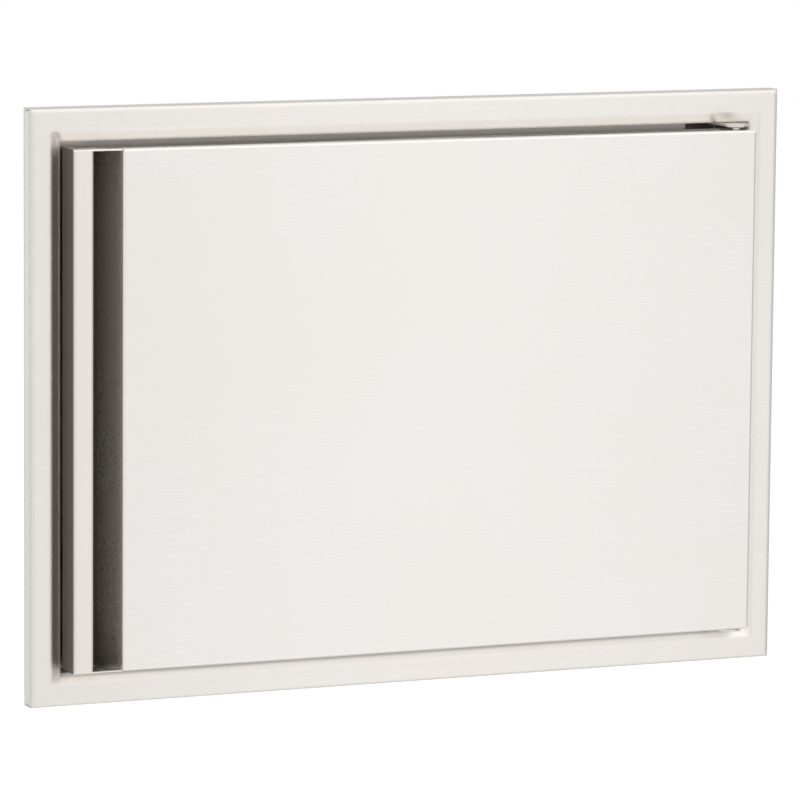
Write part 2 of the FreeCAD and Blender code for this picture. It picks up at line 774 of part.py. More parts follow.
def door_skin():
    """The front panel with its folded edges and the slanted wall of the finger channel."""
    body = new_body("door_skin")
    sketch = new_sketch(body, "XY_Plane", "Places.door_bottom", "Places.door_top")
    polygon(sketch, [
        (wall_x("Places.door_front"), "Places.door_front"),
        ("Places.door_right", "Places.door_front"),
        ("Places.door_right", "Places.return_rear"),
        (wall_x("Places.return_rear"), "Places.return_rear")])
    pad(body, sketch, "Places.door_bottom", "Places.door_top")
    round_edges(body, lambda middle, edge: lies_at(middle.y, place("door_front")),
                "Sizes.door_bend")
    shell(body, lambda item: lies_at(item.CenterOfMass.y, place("return_rear")),
          "Sizes.door_sheet")
    cut_circles(body, "XY_Plane",
                [("Places.pivot_x", "Places.pivot_y", "Places.guide_radius")],
                "Places.inner_top", "Places.door_top")
    cut_circles(body, "XY_Plane",
                [("Places.pivot_x", "Places.pivot_y", "Places.bush_radius")],
                "Places.door_bottom", "Places.inner_bottom")
    keep(body)


def handle_channel():
    """One folded sheet: slanted flange, rear web, left wall, front strip and its lip."""
    body = new_body("handle_channel")
    start = "Places.web_rear - Sizes.wall_lap"
    path = [(wall_x(start, "2 * Sizes.door_sheet"), start),
            (wall_x("Places.web_rear", "2 * Sizes.door_sheet"), "Places.web_rear"),
            ("Places.door_left", "Places.web_rear"),
            ("Places.door_left", "Places.door_front"),
            ("Places.strip_right", "Places.door_front"),
            ("Places.strip_right", "Places.door_front + Sizes.strip_lip")]
    folded_sheet(body, "XY_Plane", path, "Places.inner_bottom", "Places.inner_top",
                 "Sizes.door_sheet", "Sizes.door_bend - Sizes.door_sheet", 1)
    keep(body)


def handle_cap(label, low, high, outer):
    """A plate that closes the channel's end, with a rounded front edge."""
    body = new_body(label)
    sketch = new_sketch(body, "XY_Plane", low, high)
    polygon(sketch, [
        ("Places.door_left", "Places.door_front"),
        (wall_x("Places.door_front") + " - Sizes.cap_gap", "Places.door_front"),
        (wall_x("Places.web_rear") + " - Sizes.cap_gap", "Places.web_rear"),
        ("Places.door_left", "Places.web_rear")])
    pad(body, sketch, low, high)
    round_edges(body,
                lambda middle, edge: lies_at(middle.y, place("door_front"))
                and lies_at(middle.z, place(outer)),
                "Sizes.cap_edge")
    keep(body)


def door_liner():
    """The shallow pan that closes the door's back, with the slot for the pin's lever."""
    body = new_body("door_liner")
    box = ("Places.liner_left", "Places.liner_right", "Places.liner_bottom", "Places.liner_top")
    pad_rectangle(body, "XZ_Plane", box, "Places.liner_front", "Places.door_rear")
    round_edges(body,
                lambda middle, edge: lies_at(middle.y, place("door_rear"))
                and not lies_at(middle.x, place("liner_left")),
                "Sizes.door_bend")
    shell(body,
          lambda item: lies_at(item.CenterOfMass.y, place("liner_front"))
          or lies_at(item.CenterOfMass.x, place("liner_left")),
          "Sizes.door_sheet")
    tab = ("Places.liner_edge", "Places.liner_left",
           "Places.liner_bottom + Sizes.door_bend", "Places.liner_top - Sizes.door_bend")
    pad_rectangle(body, "XZ_Plane", tab, "Places.web_rear", "Places.door_rear")
    half_slot = "(Places.lever_radius + Sizes.slot_clearance)"
    slot = ("Places.pivot_x - " + half_slot, "Places.pivot_x + " + half_slot,
            "Places.lever_z - Sizes.pin_travel - " + half_slot, "Places.lever_z + " + half_slot)
    cut_rectangle(body, "XZ_Plane", slot, "Places.web_rear", "Places.door_rear")
    keep(body)


def door_stiffener():
    """The hat section that ties the skin to the liner."""
    body = new_body("door_stiffener")
    high = "Sizes.stiffener_height / 2"
    crown = "Sizes.stiffener_width / 2 - Sizes.door_sheet"
    foot = "Sizes.stiffener_width / 2 + Sizes.stiffener_foot"
    front = "Places.skin_inside + Sizes.door_sheet"
    path = [("-(%s)" % foot, "Places.web_rear"), ("-(%s)" % crown, "Places.web_rear"),
            ("-(%s)" % crown, front), (crown, front),
            (crown, "Places.web_rear"), (foot, "Places.web_rear")]
    folded_sheet(body, "XY_Plane", path, "-" + high, high,
                 "Sizes.door_sheet", "Sizes.bend_radius", -1)
    keep(body)


def catch_cases():
    """The two catch bodies behind the latch-side stop, each open to the front."""
    case = new_body("catch_case")
    half_width = "Sizes.catch_width / 2"
    half_length = "Sizes.catch_length / 2"
    box = ("Places.catch_x - " + half_width, "Places.catch_x + " + half_width,
           "Sizes.catch_height - " + half_length, "Sizes.catch_height + " + half_length)
    pad_rectangle(case, "XZ_Plane", box, "Places.flange_rear", "Places.catch_rear")
    nest = ("Places.catch_x - Places.pole_outer", "Places.catch_x + Places.pole_outer",
            "Sizes.catch_height - Sizes.magnet_length / 2",
            "Sizes.catch_height + Sizes.magnet_length / 2")
    cut_rectangle(case, "XZ_Plane", nest, "Places.flange_rear", "Places.magnet_rear")
    group("catch_cases", [case, mirrored(case, vector(0, 0, 1), "0")])


def catch_magnets():
    magnet = new_body("catch_magnet")
    box = ("Places.catch_x - Sizes.magnet_width / 2", "Places.catch_x + Sizes.magnet_width / 2",
           "Sizes.catch_height - Sizes.magnet_length / 2",
           "Sizes.catch_height + Sizes.magnet_length / 2")
    pad_rectangle(magnet, "XZ_Plane", box, "Places.magnet_front", "Places.magnet_rear")
    group("catch_magnets", [magnet, mirrored(magnet, vector(0, 0, 1), "0")])


def catch_poles():
    """Two steel pole plates a catch, on either side of its magnet."""
    pole = new_body("catch_pole")
    box = ("Places.catch_x + Sizes.magnet_width / 2", "Places.catch_x + Places.pole_outer",
           "Sizes.catch_height - Sizes.magnet_length / 2",
           "Sizes.catch_height + Sizes.magnet_length / 2")
    pad_rectangle(pole, "XZ_Plane", box, "Places.pole_front", "Places.magnet_rear")
    pair = [pole, mirrored(pole, vector(1, 0, 0), "Places.catch_x")]
    group("catch_poles", pair + [mirrored(item, vector(0, 0, 1), "0") for item in pair])


def strike_plates():
    """The steel plates on the door's back that the catches hold."""
    plate = new_body("strike_plate")
    box = ("Places.catch_x - Sizes.strike_width / 2", "Places.catch_x + Sizes.strike_width / 2",
           "Sizes.catch_height - Sizes.strike_length / 2",
           "Sizes.catch_height + Sizes.strike_length / 2")
    pad_rectangle(plate, "XZ_Plane", box, "Places.door_rear", "Places.strike_front")
    round_edges(plate,
                lambda middle, edge: lies_at(middle.y, place("door_rear")
                                             + size("strike_sheet") / 2),
                "Sizes.strike_corner")
    group("strike_plates", [plate, mirrored(plate, vector(0, 0, 1), "0")])


def bumpers():
    """Rubber buttons on the latch-side stop, on which the door closes."""
    one = new_body("bumper", "Places.catch_x", "Places.stop_plane", "Sizes.bumper_height")
    radius = "Sizes.bumper_diameter / 2"
    tip = "Sizes.bumper_gap - Sizes.stop_gap"
    revolve(one, "XY_Plane", [
        ("0", tip),
        (radius + " - Sizes.bumper_taper", tip),
        (radius, "0"),
        ("0", "0")])
    group("bumpers", [one, mirrored(one, vector(0, 0, 1), "0")])


def check_and_write():
    """Stop on any failed object, then write one file a node."""
    DOC.recompute()
    for thing in DOC.Objects:
        if "Invalid" in thing.State or "Error" in thing.State:
            raise RuntimeError("%s failed: %s" % (thing.Label, thing.State))
    for node in NODES:
        if node.Shape.isNull() or not node.Shape.isValid() or not node.Shape.Solids:
            raise RuntimeError("%s has no valid solid" % node.Label)
    os.makedirs("parts", exist_ok=True)
    for node in NODES:
        node.Shape.exportStep("parts/%s.step" % node.Label)


def main():
    trim_frame()
    end_jamb("jamb_top", 1)
    end_jamb("jamb_bottom", -1)
    side_jamb("jamb_left", -1)
    side_jamb("jamb_right", 1)
    end_stop("stop_top", 1)
    end_stop("stop_bottom", -1)
    side_stop("stop_left", -1, "Sizes.latch_stop_reach")
    side_stop("stop_right", 1, "Sizes.hinge_stop_reach")
    hinge_bracket("hinge_bracket_top", 1)
    hinge_bracket("hinge_bracket_bottom", -1)
    hinge_rivets()
    hinge_bush_top()
    hinge_bush_bottom()
    hinge_pin_bottom()
    hinge_pin_top()
    pin_lever()
    pin_clip()
    pin_spring()
    pin_housing()
    hinge_plate_bottom()
    door_skin()
    handle_channel()
    handle_cap("handle_cap_top", "Places.inner_top", "Places.door_top", "door_top")
    handle_cap("handle_cap_bottom", "Places.door_bottom", "Places.inner_bottom", "door_bottom")
    door_liner()
    door_stiffener()
    catch_cases()
    catch_magnets()
    catch_poles()
    strike_plates()
    bumpers()
    check_and_write()


main()
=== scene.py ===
import math
from collections import namedtuple

import bmesh
import bpy
from mathutils import Matrix, Vector


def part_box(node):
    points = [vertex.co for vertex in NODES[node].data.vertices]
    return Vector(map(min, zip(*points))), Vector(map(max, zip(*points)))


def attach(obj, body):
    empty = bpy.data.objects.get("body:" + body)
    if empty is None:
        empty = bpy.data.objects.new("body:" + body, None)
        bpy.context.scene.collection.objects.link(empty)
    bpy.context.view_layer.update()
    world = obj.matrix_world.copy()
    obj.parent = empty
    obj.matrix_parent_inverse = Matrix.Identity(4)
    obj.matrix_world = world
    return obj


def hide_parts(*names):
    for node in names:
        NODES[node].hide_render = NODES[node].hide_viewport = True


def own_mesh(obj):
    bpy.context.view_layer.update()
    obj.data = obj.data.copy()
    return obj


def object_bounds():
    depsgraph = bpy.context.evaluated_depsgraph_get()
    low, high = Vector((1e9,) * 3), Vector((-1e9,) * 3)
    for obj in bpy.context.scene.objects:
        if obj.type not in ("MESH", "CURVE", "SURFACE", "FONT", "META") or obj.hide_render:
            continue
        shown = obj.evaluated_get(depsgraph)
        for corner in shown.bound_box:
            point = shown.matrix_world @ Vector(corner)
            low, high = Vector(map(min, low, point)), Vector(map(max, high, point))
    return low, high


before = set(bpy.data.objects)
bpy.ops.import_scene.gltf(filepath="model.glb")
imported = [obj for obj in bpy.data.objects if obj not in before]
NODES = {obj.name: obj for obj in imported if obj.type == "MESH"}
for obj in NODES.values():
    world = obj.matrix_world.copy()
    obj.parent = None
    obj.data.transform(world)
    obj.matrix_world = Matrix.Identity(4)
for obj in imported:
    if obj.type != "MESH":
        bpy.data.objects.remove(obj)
CAD_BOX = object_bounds()

# The camera, fitted to the photograph: it stands to the left of the door and a little above it.
CAMERA_AZIMUTH = math.radians(22.796)
CAMERA_ELEVATION = math.radians(7.947)
CAMERA_ROLL = math.radians(0.484)
CAMERA_DISTANCE = 3.8456
CAMERA_LENS = 242.88
AIM_RIGHT = -0.00349
AIM_UP = -0.00717

# The studio: a white floor and room. What the steel mirrors is the room's tone round the
# horizon, by azimuth from the front towards the right, and above and below it by depth.
FLOOR_DROP = 0.55
FLOOR_SIDE = 18.0
FLOOR_LIFT = 0.46
WORLD_DIFFUSE = 0.62
HORIZON_TONES = ((-180, 0.80), (-157, 0.84), (-110, 0.68), (-67, 0.86), (-22, 0.88), (0, 0.86),
                 (12, 0.78), (17, 0.77), (20, 0.94), (23, 1.26), (26, 1.05), (29, 0.84), (42, 0.72),
                 (52, 0.50), (61, 0.38), (70, 0.60), (85, 0.72), (115, 0.72), (157, 0.68),
                 (180, 0.80))
ABOVE_BACK = 0.55
ABOVE_FRONT = 1.33
BELOW_BACK = 0.80
BELOW_FRONT = 1.22
# The sines of the elevations between which the horizon's tone gives way, and before which it is
# lowered a little.
ABOVE_BAND = (0.22, 0.42)
BELOW_BAND = (0.30, 0.44)
LOW_BAND = (0.13, 0.26)
LOW_TONE = 0.86

# A part of a sheet with painted shade, or a painted highlight, on its colour: behind the front
# depth it changes, and at the rear depth it has that share of its brightness and is that much
# rougher, within the limits across and up.
Zone = namedtuple("Zone", "front rear share rougher half_width bottom top")
# A part painted dark and made matt as painted shade, beyond the limit along the axis.
PaintedShadeEdge = namedtuple("PaintedShadeEdge", "axis limit front rear")


def tint(red, green, blue):
    """A colour as it looks on screen, 0 to 255, as the linear values that a shader takes."""
    def linear(value):
        value /= 255
        return value / 12.92 if value <= 0.04045 else ((value + 0.055) / 1.055) ** 2.4
    return (linear(red), linear(green), linear(blue), 1.0)


class Graph:
    """A short way to write a material's nodes."""

    def __init__(self, material, keep=False):
        material.use_nodes = True
        self.tree = material.node_tree
        if not keep:
            self.tree.nodes.clear()
            self.output = self.tree.nodes.new("ShaderNodeOutputMaterial")

    def add(self, kind, **settings):
        node = self.tree.nodes.new(kind)
        for name, value in settings.items():
            setattr(node, name, value)
        return node

    def link(self, source, target):
        self.tree.links.new(source, target)

    def math(self, operation, first, second):
        node = self.add("ShaderNodeMath", operation=operation)
        for socket, value in zip(node.inputs, (first, second)):
            if isinstance(value, (int, float)):
                socket.default_value = value
            else:
                self.link(value, socket)
        return node.outputs[0]

    def span(self, value, low, high, from_low=0.0, from_high=1.0):
        node = self.add("ShaderNodeMapRange")
        node.clamp = True
        self.link(value, node.inputs["Value"])
        node.inputs["From Min"].default_value = from_low
        node.inputs["From Max"].default_value = from_high
        node.inputs["To Min"].default_value = low
        node.inputs["To Max"].default_value = high
        return node.outputs["Result"]

    def mix(self, factor, first, second, blend="MIX"):
        node = self.add("ShaderNodeMix", data_type="RGBA", blend_type=blend)
        self.feed(node.inputs["Factor"], factor)
        self.feed(node.inputs["A"], first, 6)
        self.feed(node.inputs["B"], second, 7)
        return node.outputs[2]

    def blend(self, factor, first, second):
        """A plain number between two others."""
        node = self.add("ShaderNodeMix", data_type="FLOAT")
        self.feed(node.inputs[0], factor)
        self.feed(node.inputs[2], first)
        self.feed(node.inputs[3], second)
        return node.outputs[0]

    def feed(self, socket, value, index=None):
        if index is not None:
            socket = socket.node.inputs[index]
        if isinstance(value, bpy.types.NodeSocket):
            self.link(value, socket)
        else:
            socket.default_value = value

    def place(self, scale):
        """Object coordinates, in metres, stretched."""
        coordinates = self.add("ShaderNodeTexCoord")
        mapping = self.add("ShaderNodeMapping")
        mapping.inputs["Scale"].default_value = scale
        self.link(coordinates.outputs["Object"], mapping.inputs["Vector"])
        return mapping.outputs["Vector"]

    def noise(self, vector, scale, detail=2.0, roughness=0.5):
        node = self.add("ShaderNodeTexNoise")
        self.link(vector, node.inputs["Vector"])
        node.inputs["Scale"].default_value = scale
        node.inputs["Detail"].default_value = detail
        node.inputs["Roughness"].default_value = roughness
        return node.outputs["Fac"]


def brushed_steel(name, colour, grain=(1, 1, 1), roughness=0.27, spread=0.03, smudge=0.02,
                  grain_depth=0.02, shade=0.006, anisotropy=0.75, edge_radius=0.0, zones=(),
                  painted_shade_edge=None):
    """Satin sheet: fine grain drawn out along one axis and soft cloudy patches."""
    material = bpy.data.materials.new(name)
    graph = Graph(material)
    fine = graph.noise(graph.place(grain), 900.0, 3.0, 0.6)
    streaks = graph.noise(graph.place(tuple(axis * 0.35 for axis in grain)), 260.0, 2.0, 0.5)
    clouds = graph.noise(graph.place((1, 1, 1)), 5.0, 3.0, 0.55)
    lines = graph.math("ADD", graph.math("MULTIPLY", fine, 0.6),
                       graph.math("MULTIPLY", streaks, 0.4))
    shader = graph.add("ShaderNodeBsdfPrincipled")
    shader.inputs["Metallic"].default_value = 1.0
    darker = tuple(channel * (1 - shade) for channel in colour[:3]) + (1.0,)
    paler = tuple(min(1.0, channel * (1 + shade)) for channel in colour[:3]) + (1.0,)
    grained = graph.mix(graph.span(lines, 0, 1, 0.3, 0.7), darker, paler)
    cloudy = tuple(channel * (1 - smudge) for channel in (1.0, 0.99, 0.98)) + (1.0,)
    tone = graph.mix(graph.span(clouds, 0, 1, 0.35, 0.7), cloudy, (1.0, 1.0, 1.0, 1.0))
    body = graph.mix(1.0, grained, tone, "MULTIPLY")
    rough = graph.math("ADD", graph.span(lines, roughness - spread / 2, roughness + spread / 2,
                                         0.3, 0.7),
                       graph.span(clouds, -spread / 2, spread / 2, 0.3, 0.7))
    parts = graph.add("ShaderNodeSeparateXYZ")
    graph.link(graph.place((1, 1, 1)), parts.inputs["Vector"])
    # Each zone paints shade into the base colour, or a painted highlight where its share is above
    # 1.
    for zone in zones:
        depth = graph.span(parts.outputs["Y"], 0, 1, zone.front, zone.rear)
        across = graph.math("ABSOLUTE", parts.outputs["X"], 0.0)
        for value, test, limit in ((across, "LESS_THAN", zone.half_width),
                                   (parts.outputs["Z"], "GREATER_THAN", zone.bottom),
                                   (parts.outputs["Z"], "LESS_THAN", zone.top)):
            depth = graph.math("MULTIPLY", depth, graph.math(test, value, limit))
        shaded = tuple(zone.share ** warmth for warmth in WARM_SHADE) + (1.0,)
        body = graph.mix(1.0, body, graph.mix(depth, (1.0, 1.0, 1.0, 1.0), shaded), "MULTIPLY")
        rough = graph.math("ADD", rough, graph.math("MULTIPLY", depth, zone.rougher))
    # Painted shade: the door's underside and the channel's left flank are painted dark and made
    # matt here.
    if painted_shade_edge:
        beyond = graph.math("LESS_THAN", parts.outputs[painted_shade_edge.axis], painted_shade_edge.limit)
        depth = graph.span(parts.outputs["Y"], 0, 1, painted_shade_edge.front, painted_shade_edge.rear)
        shade_mask = graph.math("MULTIPLY", beyond, depth)
        deep = graph.span(parts.outputs["Y"], 0, 1, *PAINTED_SHADE_DEPTHS)
        body = graph.mix(shade_mask, body, graph.mix(deep, PAINTED_SHADE_FRONT, PAINTED_SHADE_DEEP))
        rough = graph.math("ADD", rough, graph.math("MULTIPLY", shade_mask, MATT_ROUGHER))
        graph.link(graph.span(shade_mask, 1.0, MATT_METAL), shader.inputs["Metallic"])
    tangent = graph.add("ShaderNodeTangent", direction_type="RADIAL", axis="Z")
    graph.link(tangent.outputs["Tangent"], shader.inputs["Tangent"])
    shader.inputs["Anisotropic"].default_value = anisotropy
    shader.inputs["Anisotropic Rotation"].default_value = 0.25
    graph.link(body, shader.inputs["Base Color"])
    graph.link(rough, shader.inputs["Roughness"])
    bump = graph.add("ShaderNodeBump")
    bump.inputs["Strength"].default_value = grain_depth
    bump.inputs["Distance"].default_value = 0.00003
    graph.link(lines, bump.inputs["Height"])
    if edge_radius:
        soft = graph.add("ShaderNodeBevel", samples=4)
        soft.inputs["Radius"].default_value = edge_radius
        graph.link(soft.outputs["Normal"], bump.inputs["Normal"])
    graph.link(bump.outputs["Normal"], shader.inputs["Normal"])
    graph.link(shader.outputs["BSDF"], graph.output.inputs["Surface"])
    return material


def moulded(name, colour, roughness):
    """Moulded plastic or rubber: a fine pebbled skin with slightly uneven colour."""
    material = bpy.data.materials.new(name)
    graph = Graph(material)
    pebble = graph.noise(graph.place((1, 1, 1)), 900.0, 3.0, 0.6)
    clouds = graph.noise(graph.place((1, 1, 1)), 60.0, 2.0, 0.5)
    shader = graph.add("ShaderNodeBsdfPrincipled")
    darker = tuple(channel * 0.85 for channel in colour[:3]) + (1.0,)
    graph.link(graph.mix(clouds, darker, colour), shader.inputs["Base Color"])
    graph.link(graph.span(pebble, roughness - 0.08, roughness + 0.08, 0.3, 0.7),
               shader.inputs["Roughness"])
    bump = graph.add("ShaderNodeBump")
    bump.inputs["Strength"].default_value = 0.15
    bump.inputs["Distance"].default_value = 0.00008
    graph.link(pebble, bump.inputs["Height"])
    graph.link(bump.outputs["Normal"], shader.inputs["Normal"])
    graph.link(shader.outputs["BSDF"], graph.output.inputs["Surface"])
    return material


# The pin's coil: the wire's radius and its turns.
SPRING_WIRE = 0.00045
SPRING_TURNS = 9

# The screws: how far they stand from the middle of the catches and from the strikes' ends, and
# the radius and height of their heads.
CATCH_HEIGHT = 0.110
CATCH_SCREW_INSET = 0.005
STRIKE_SCREW_INSET = 0.004
CATCH_SCREW_HEAD = (0.00275, 0.0015)
STRIKE_SCREW_HEAD = (0.0025, 0.00075)

# How a zone's painted shade tints red, green and blue, as powers of its share.
WARM_SHADE = (1.0, 1.02, 1.05)
# A painted-shade edge: its painted colour in front and deep down, the depths between, and how matt
# it is.
PAINTED_SHADE_FRONT = tint(104, 97, 90)
PAINTED_SHADE_DEEP = tint(214, 204, 194)
PAINTED_SHADE_DEPTHS = (-0.013, -0.006)
MATT_METAL = 0.05
MATT_ROUGHER = 0.35

# The trim's bevel, made rougher; its lower run, painted paler as a painted highlight; that run's
# inner edge, painted darker as a painted shadow line; and the flange behind it, painted darker as
# painted shade. Along the lower run the hinge bracket's end is left out of the second step.
TRIM_PAINTED_SHADE_AND_HIGHLIGHT = (
    Zone(-0.0139, -0.0136, 1.0, 0.09, 0.2712, -0.1936, 0.1936),
    Zone(-0.0140, -0.0136, 1.08, 0.0, 0.2712, -0.1936, -0.1860),
    Zone(-0.0140, -0.0136, 1.046, 0.0, 0.2585, -0.1936, -0.1860),
    Zone(-0.0129, -0.0122, 0.62, 0.0, 0.264, -0.1936, -0.1860),
    Zone(-0.0112, -0.0105, 0.5, 0.0, 0.268, -0.190, 0.190),
)
# Painted shade on the channel's inside, and on its slanted flange, where it is paler.
CHANNEL_PAINTED_SHADE = (
    Zone(-0.0315, -0.0285, 0.29, 0.12, 0.3, -0.1832, 0.1813),
    Zone(-0.0315, -0.0285, 2.5, 0.0, 0.2405, -0.1832, 0.1813),
)

ALONG_X = (0.02, 1.0, 1.0)
ALONG_Z = (1.0, 1.0, 0.02)
EVEN = (1.0, 1.0, 1.0)

MATERIALS = {
    "trim": brushed_steel("trim_steel", tint(240, 236, 232), ALONG_X, edge_radius=0.0035,
                          zones=TRIM_PAINTED_SHADE_AND_HIGHLIGHT),
    "door": brushed_steel("door_steel", tint(242, 239, 236), ALONG_X,
                          painted_shade_edge=PaintedShadeEdge("Z", -0.183, -0.0175, -0.0150)),
    "channel": brushed_steel("channel_steel", tint(240, 235, 230), ALONG_Z, zones=CHANNEL_PAINTED_SHADE,
                             painted_shade_edge=PaintedShadeEdge("X", -0.26, -0.0315, -0.0285)),
    # The liner, stop and inner parts are darker than the face: partly a duller mill finish, partly
    # painted shade for the gap and cavity behind the door.
    "liner": brushed_steel("liner_steel", tint(152, 148, 142), ALONG_X, roughness=0.4),
    "stop": brushed_steel("stop_steel", tint(204, 199, 193), ALONG_X, roughness=0.34),
    "inner": brushed_steel("inner_steel", tint(170, 167, 162), ALONG_X, roughness=0.4),
    "bracket": brushed_steel("bracket_steel", tint(230, 226, 221), ALONG_X, roughness=0.3),
    "turned": brushed_steel("turned_steel", tint(214, 212, 209), EVEN, roughness=0.2),
    "spring": brushed_steel("spring_steel", tint(150, 148, 146), EVEN, roughness=0.3),
    "zinc": brushed_steel("zinc_steel", tint(178, 180, 182), EVEN, roughness=0.36, smudge=0.12),
    "magnet": moulded("magnet_black", tint(48, 46, 46), 0.45),
    "nylon": moulded("nylon_white", tint(226, 223, 214), 0.42),
    "plastic": moulded("catch_black", tint(38, 38, 39), 0.5),
    "rubber": moulded("bumper_rubber", tint(42, 41, 41), 0.7),
}

FINISH = {
    "trim_frame": "trim",
    "jamb_top": "liner",
    "jamb_bottom": "liner",
    "jamb_left": "liner",
    "jamb_right": "liner",
    "stop_top": "stop",
    "stop_bottom": "stop",
    "stop_left": "stop",
    "stop_right": "stop",
    "hinge_bracket_top": "bracket",
    "hinge_bracket_bottom": "bracket",
    "hinge_rivets": "turned",
    "hinge_bush_top": "nylon",
    "hinge_bush_bottom": "nylon",
    "hinge_pin_bottom": "turned",
    "hinge_pin_top": "turned",
    "pin_lever": "turned",
    "pin_clip": "spring",
    "pin_housing": "inner",
    "hinge_plate_bottom": "inner",
    "door_skin": "door",
    "handle_channel": "channel",
    "handle_cap_top": "channel",
    "handle_cap_bottom": "channel",
    "door_liner": "inner",
    "door_stiffener": "inner",
    "catch_cases": "plastic",
    "catch_magnets": "magnet",
    "catch_poles": "zinc",
    "strike_plates": "zinc",
    "bumpers": "rubber",
}


def coil_spring():
    """The pin's coil spring, with its closed end turns, in place of the plain sleeve."""
    low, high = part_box("pin_spring")
    middle = (low + high) / 2
    reach = (high.x - low.x) / 2 - SPRING_WIRE
    rise = high.z - low.z - 2.1 * SPRING_WIRE
    closed = 2.2 * SPRING_WIRE
    steps, sides = 24, 8
    coil = bmesh.new()
    rings = []
    for step in range(SPRING_TURNS * steps + 1):
        turn = step / steps
        if turn < 1:
            climb = closed * turn
        elif turn > SPRING_TURNS - 1:
            climb = rise - closed * (SPRING_TURNS - turn)
        else:
            climb = closed + (rise - 2 * closed) * (turn - 1) / (SPRING_TURNS - 2)
        outward = Vector((math.cos(turn * math.tau), math.sin(turn * math.tau), 0.0))
        centre = outward * reach + Vector((middle.x, middle.y, low.z + 1.05 * SPRING_WIRE + climb))
        rings.append([coil.verts.new(centre + SPRING_WIRE * (
            outward * math.cos(side * math.tau / sides)
            + Vector((0.0, 0.0, math.sin(side * math.tau / sides))))) for side in range(sides)])
    for ring, after in zip(rings, rings[1:]):
        for side in range(sides):
            beside = (side + 1) % sides
            coil.faces.new((ring[side], ring[beside], after[beside], after[side])).smooth = True
    coil.faces.new(rings[0][::-1])
    coil.faces.new(rings[-1])
    bmesh.ops.recalc_face_normals(coil, faces=coil.faces)
    mesh = bpy.data.meshes.new("pin_coil")
    coil.to_mesh(mesh)
    coil.free()
    spring = bpy.data.objects.new("pin_coil", mesh)
    bpy.context.scene.collection.objects.link(spring)
    spring.data.materials.append(MATERIALS["spring"])
    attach(spring, "door")
    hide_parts("pin_spring")
    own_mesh(spring)


def dress_nodes():
    """Give each CAD node its material."""
    for name, finish in FINISH.items():
        node = NODES[name]
        if not node.material_slots:
            node.data.materials.append(None)
        for slot in node.material_slots:
            slot.material = MATERIALS[finish]


def pan_head(name, radius, height):
    """A screw's domed head with a cross recess; its seat is at the origin and it rises along Z."""
    profile = [(0.0, 1.0), (0.45, 0.98), (0.75, 0.86), (0.92, 0.62), (1.0, 0.3), (1.0, 0.0)]
    dome = bmesh.new()
    rim = [dome.verts.new((radius * across, 0.0, height * up)) for across, up in profile]
    edges = [dome.edges.new(pair) for pair in zip(rim, rim[1:])]
    bmesh.ops.spin(dome, geom=rim + edges, cent=(0, 0, 0), axis=(0, 0, 1), angle=math.tau,
                   steps=40, use_duplicate=False)
    bmesh.ops.remove_doubles(dome, verts=dome.verts, dist=radius * 1e-4)
    bmesh.ops.recalc_face_normals(dome, faces=dome.faces)
    mesh = bpy.data.meshes.new(name)
    dome.to_mesh(mesh)
    dome.free()
    head = bpy.data.objects.new(name, mesh)
    bpy.context.scene.collection.objects.link(head)
    cut_cross(head, radius * 0.55, radius * 0.13, height)
    return head


def cut_cross(head, reach, half_slot, height):
    """Sink a tapered cross into a screw head."""
    arms = [(reach, half_slot), (half_slot, half_slot), (half_slot, reach),
            (-half_slot, reach), (-half_slot, half_slot), (-reach, half_slot),
            (-reach, -half_slot), (-half_slot, -half_slot), (-half_slot, -reach),
            (half_slot, -reach), (half_slot, -half_slot), (reach, -half_slot)]
    cross = bmesh.new()
    top = [cross.verts.new((x, y, height * 1.3)) for x, y in arms]
    bottom = [cross.verts.new((x * 0.6, y * 0.6, height * 0.3)) for x, y in arms]
    cross.faces.new(top)
    cross.faces.new(bottom[::-1])
    for index in range(len(arms)):
        after = (index + 1) % len(arms)
        cross.faces.new((top[index], bottom[index], bottom[after], top[after]))
    bmesh.ops.recalc_face_normals(cross, faces=cross.faces)
    mesh = bpy.data.meshes.new("cross_cutter")
    cross.to_mesh(mesh)
    cross.free()
    cutter = bpy.data.objects.new("cross_cutter", mesh)
    bpy.context.scene.collection.objects.link(cutter)
    sink = head.modifiers.new("recess", "BOOLEAN")
    sink.operation = "DIFFERENCE"
    sink.solver = "EXACT"
    sink.object = cutter
    bpy.context.view_layer.update()
    evaluated = head.evaluated_get(bpy.context.evaluated_depsgraph_get())
    sunk = bpy.data.meshes.new_from_object(evaluated)
    head.modifiers.clear()
    head.data = sunk
    sunk.shade_smooth()
    sunk.set_sharp_from_angle(angle=math.radians(35))
    bpy.data.objects.remove(cutter)


def screws():
    """The catches' screws on the door stop and the strikes' screws on the door's back."""
    stop_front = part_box("stop_left")[0].y
    strike_low, strike_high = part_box("strike_plates")
    across = (strike_low.x + strike_high.x) / 2
    catch_low, catch_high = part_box("catch_cases")
    strike_end = strike_high.z - STRIKE_SCREW_INSET
    catch_end = catch_high.z - CATCH_SCREW_INSET
    catch_other = 2 * CATCH_HEIGHT - catch_end
    strike_other = 2 * CATCH_HEIGHT - strike_end
    kinds = (
        ("catch_screw", "frame", CATCH_SCREW_HEAD, stop_front, (catch_end, catch_other), -1),
        ("strike_screw", "door", STRIKE_SCREW_HEAD, strike_high.y, (strike_end, strike_other), 1),
    )
    for kind, body, (radius, height), depth, levels, faces in kinds:
        heights = [sign * level for sign in (1, -1) for level in levels]
        for number, level in enumerate(heights, 1):
            head = pan_head("%s_%d" % (kind, number), radius, height)
            head.location = (across, depth, level)
            head.rotation_euler = (-faces * math.pi / 2, 0.3 * number, 0.0)
            head.data.materials.append(MATERIALS["turned"])
            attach(head, body)


